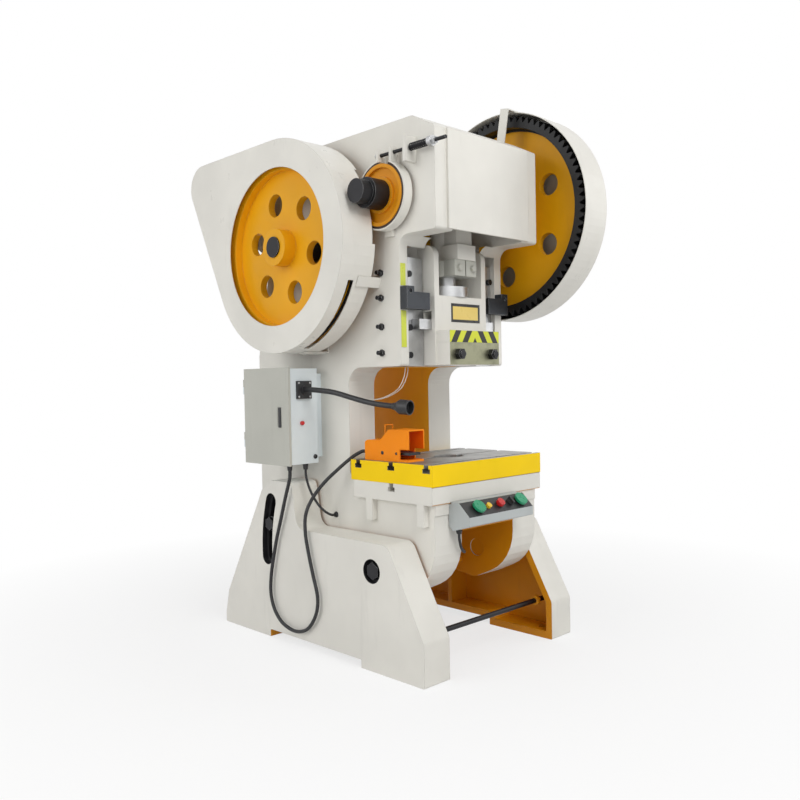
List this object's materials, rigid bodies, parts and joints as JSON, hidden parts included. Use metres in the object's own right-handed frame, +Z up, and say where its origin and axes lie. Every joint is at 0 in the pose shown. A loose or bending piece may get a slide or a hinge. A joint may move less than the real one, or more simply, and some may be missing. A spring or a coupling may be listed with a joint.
{
  "type": "punching machine",
  "caption": "C-frame punching machine on two legs: crank-driven slide over a slotted bolster, flywheel and gear under guards, cabinet, control panel and foot switch.",
  "frame": {"origin": "on the floor, at the centre of the four anchor bolt holes", "axes": "+Z up, +X to the right of someone facing the machine, front towards -Y"},
  "size_m": [0.98, 1.51, 2.1462],
  "materials": {
    "ivory_paint": "satin enamel",
    "yellow_paint": "satin enamel",
    "cast_ivory": "satin enamel on cast iron",
    "gear_paint": "enamel web with oiled black teeth",
    "table_paint": "enamel sides, ground top",
    "steel": "machined",
    "black_steel": "black oxide",
    "grey_paint": "powder coat",
    "bronze": "machined",
    "rubber_black": "matte",
    "black_plastic": "matte",
    "friction": "matte",
    "orange_plastic": "satin",
    "green_plastic": "gloss",
    "red_plastic": "gloss",
    "lamp_yellow": "gloss",
    "scale_yellow": "satin",
    "cream_plate": "satin",
    "clear_tube": "satin",
    "motor_paint": "satin enamel"
  },
  "bodies": {
    "base": {"left_leg": "cast_ivory", "right_leg": "cast_ivory", "tie_rod": "black_steel", "pivot_bolts": "black_steel"},
    "frame": {"frame": "cast_ivory", "bolster": "table_paint", "crank_cover": "ivory_paint", "bearing_bushes": "bronze", "left_gib": "steel", "right_gib": "steel", "gib_screws": "black_steel", "knockout_stops": "black_steel", "slide_scale": "scale_yellow", "flywheel_guard": "ivory_paint", "gear_guard": "ivory_paint", "guard_brackets": "ivory_paint", "brake_band": "ivory_paint", "brake_lining": "friction", "brake_bracket": "ivory_paint", "brake_spring": "black_steel", "brake_rod": "steel", "motor": "motor_paint", "motor_plate": "ivory_paint", "drive_belts": "rubber_black", "cabinet": "grey_paint", "lamp_arm": "black_plastic", "lamp_head": "black_plastic", "cabinet_lamp": "red_plastic", "control_panel": "grey_paint", "panel_lamp": "lamp_yellow", "foot_switch": "orange_plastic", "cable_glands": "black_plastic", "foot_switch_cord": "rubber_black", "panel_cable": "rubber_black", "power_cable": "rubber_black", "lock_bolts": "black_steel", "oil_tubes": "clear_tube"},
    "slide": {"slide": "cast_ivory", "connecting_rod": "cast_ivory", "rod_clamp": "steel", "adjusting_screw": "steel", "hazard_block": "yellow_paint", "die_clamp": "steel", "die_bolts": "black_steel", "slide_plate": "cream_plate"},
    "knockout": {"knockout_bar": "steel"},
    "crank": {"crankshaft": "steel", "brake_drum": "gear_paint"},
    "gear": {"bull_gear": "gear_paint"},
    "drive": {"flywheel": "table_paint", "pinion_shaft": "steel"},
    "rotor": {"motor_pulley": "black_steel"},
    "door": {"cabinet_door": "grey_paint"},
    "left_push": {"left_button": "green_plastic"},
    "right_push": {"right_button": "green_plastic"},
    "stop_push": {"stop_button": "red_plastic"},
    "selector": {"selector_knob": "black_plastic"},
    "pedal": {"foot_pedal": "black_plastic"}
  },
  "joints": [
    {"name": "frame_tilt", "type": "hinge", "parent": "base", "child": "frame", "pos_m": [0, -0.35, 0.362], "axis": [-1, 0, 0], "range_deg": [0, 6]},
    {"name": "slide_stroke", "type": "slide", "parent": "frame", "child": "slide", "axis": [0, 0, -1], "range_m": [0, 0.1]},
    {"name": "crank_turn", "type": "hinge", "parent": "frame", "child": "crank", "pos_m": [0, -0.341, 1.715], "axis": [1, 0, 0], "range_deg": [0, 180]},
    {"name": "flywheel_spin", "type": "hinge", "parent": "frame", "child": "drive", "pos_m": [0, 0.106, 1.56976], "axis": [1, 0, 0], "continuous": true},
    {"name": "gear_spin", "type": "hinge", "parent": "frame", "child": "gear", "pos_m": [0, -0.341, 1.715], "axis": [1, 0, 0], "continuous": true},
    {"name": "motor_spin", "type": "hinge", "parent": "frame", "child": "rotor", "pos_m": [0, 0.615, 1.89], "axis": [1, 0, 0], "continuous": true},
    {"name": "knockout_lift", "type": "slide", "parent": "slide", "child": "knockout", "axis": [0, 0, 1], "range_m": [0, 0.03]},
    {"name": "door_swing", "type": "hinge", "parent": "frame", "child": "door", "pos_m": [-0.475, 0.359, 0.9], "axis": [0, 0, -1], "range_deg": [0, 100]},
    {"name": "left_button_press", "type": "slide", "parent": "frame", "child": "left_push", "axis": [0, 0.6921, -0.7218], "range_m": [0, 0.005], "stiffness_N_per_m": 600},
    {"name": "right_button_press", "type": "slide", "parent": "frame", "child": "right_push", "axis": [0, 0.6921, -0.7218], "range_m": [0, 0.005], "stiffness_N_per_m": 600},
    {"name": "stop_button_press", "type": "slide", "parent": "frame", "child": "stop_push", "axis": [0, 0.6921, -0.7218], "range_m": [0, 0.005], "stiffness_N_per_m": 600},
    {"name": "selector_turn", "type": "hinge", "parent": "frame", "child": "selector", "pos_m": [0.033, -0.614, 0.581], "axis": [0, -0.6921, 0.7218], "range_deg": [-45, 45]},
    {"name": "pedal_press", "type": "hinge", "parent": "frame", "child": "pedal", "pos_m": [-0.245, -0.268, 0.7735], "axis": [1, 0, 0], "range_deg": [0, 6], "stiffness_Nm_per_rad": 25, "springref_deg": -2.86}
  ],
  "couplings": [
    {"joint": "crank_turn", "follows": "slide_stroke", "rad_per_m": 31.416},
    {"joint": "gear_spin", "follows": "flywheel_spin", "ratio": -0.16049},
    {"joint": "motor_spin", "follows": "flywheel_spin", "ratio": 5.6269}
  ]
}
